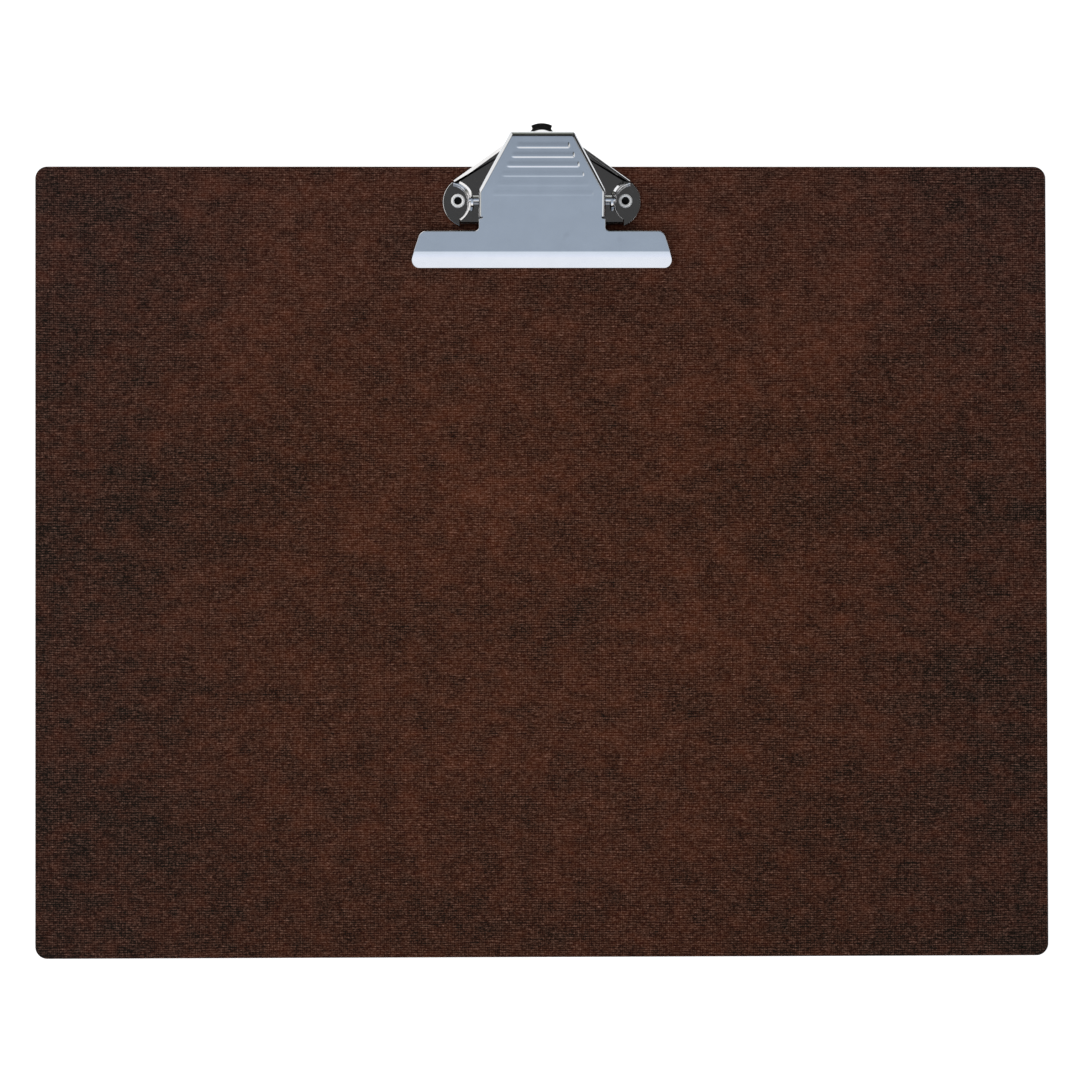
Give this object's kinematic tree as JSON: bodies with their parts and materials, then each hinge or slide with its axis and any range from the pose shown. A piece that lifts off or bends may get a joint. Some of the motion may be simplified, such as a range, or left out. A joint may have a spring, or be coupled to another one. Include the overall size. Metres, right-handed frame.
{
  "type": "clipboard",
  "caption": "Landscape hardboard clipboard with a sprung steel lever clip riveted to the middle of its long edge.",
  "frame": {"origin": "centre of the board's flat back face", "axes": "+X to the right along the long edges as seen from the front, +Y in the board's plane towards the edge with the clip, +Z out of the front face"},
  "size_m": [0.395, 0.3252, 0.0255],
  "materials": {
    "hardboard": "satin dark brown pressed hardboard with a fine screen-mesh imprint",
    "base_chrome": "polished",
    "lever_nickel": "satin",
    "pin_steel": "polished",
    "spring_steel": "oiled",
    "rivet_nickel": "polished"
  },
  "bodies": {
    "board_body": {"board": "hardboard", "base_plate": "base_chrome", "hinge_pin": "pin_steel", "torsion_spring": "spring_steel", "rivet_left": "rivet_nickel", "rivet_right": "rivet_nickel"},
    "lever_body": {"lever_plate": "lever_nickel"}
  },
  "joints": [
    {"name": "lever_hinge", "type": "hinge", "parent": "board_body", "child": "lever_body", "pos_m": [0, 0.1408, 0.0114], "axis": [-1, 0, 0], "range_deg": [0, 26], "stiffness_Nm_per_rad": 0.8, "springref_deg": -28.65, "deforming": ["torsion_spring"]}
  ]
}
